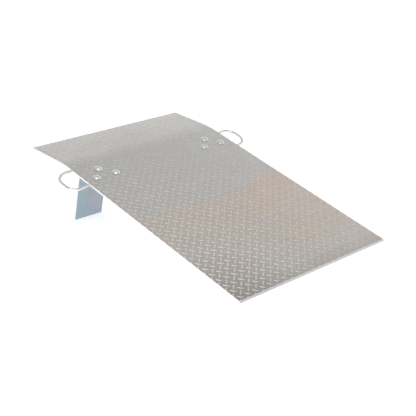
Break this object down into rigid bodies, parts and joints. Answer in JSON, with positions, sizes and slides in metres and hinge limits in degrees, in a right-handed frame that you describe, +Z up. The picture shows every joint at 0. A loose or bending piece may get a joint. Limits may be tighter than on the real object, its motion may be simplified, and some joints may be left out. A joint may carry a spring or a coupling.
{
  "type": "dock plate",
  "caption": "Bent aluminium tread plate that bridges a dock and a truck bed, with bolt-on locking legs and a welded rod carrying handle at each side.",
  "frame": {"origin": "centre of the object's box on the floor it stands on", "axes": "+X down the ramp towards the front lip, +Y across the deck to the right-hand handle, +Z up; the object stands on its two leg tips and its front lip"},
  "size_m": [1.2018, 0.933, 0.263],
  "materials": {
    "tread_plate": "mill finish tread plate, satin with brighter raised lugs",
    "leg_steel": "blue-white zinc plate on flat steel",
    "handle_rod": "drawn rod, satin",
    "weld_bead": "as-welded, rippled",
    "fastener_zinc": "bright zinc plate"
  },
  "bodies": {
    "root": {"dock_plate": "tread_plate", "left_leg": "leg_steel", "left_handle": "handle_rod", "left_handle_welds": "weld_bead", "left_apex_carriage_bolt": "fastener_zinc", "left_apex_flat_washer": "fastener_zinc", "left_apex_lock_washer": "fastener_zinc", "left_apex_hex_nut": "fastener_zinc", "left_outer_carriage_bolt": "fastener_zinc", "left_outer_flat_washer": "fastener_zinc", "left_outer_lock_washer": "fastener_zinc", "left_outer_hex_nut": "fastener_zinc", "left_inner_carriage_bolt": "fastener_zinc", "left_inner_flat_washer": "fastener_zinc", "left_inner_lock_washer": "fastener_zinc", "left_inner_hex_nut": "fastener_zinc", "right_leg": "leg_steel", "right_handle": "handle_rod", "right_handle_welds": "weld_bead", "right_apex_carriage_bolt": "fastener_zinc", "right_apex_flat_washer": "fastener_zinc", "right_apex_lock_washer": "fastener_zinc", "right_apex_hex_nut": "fastener_zinc", "right_outer_carriage_bolt": "fastener_zinc", "right_outer_flat_washer": "fastener_zinc", "right_outer_lock_washer": "fastener_zinc", "right_outer_hex_nut": "fastener_zinc", "right_inner_carriage_bolt": "fastener_zinc", "right_inner_flat_washer": "fastener_zinc", "right_inner_lock_washer": "fastener_zinc", "right_inner_hex_nut": "fastener_zinc"}
  },
  "joints": []
}
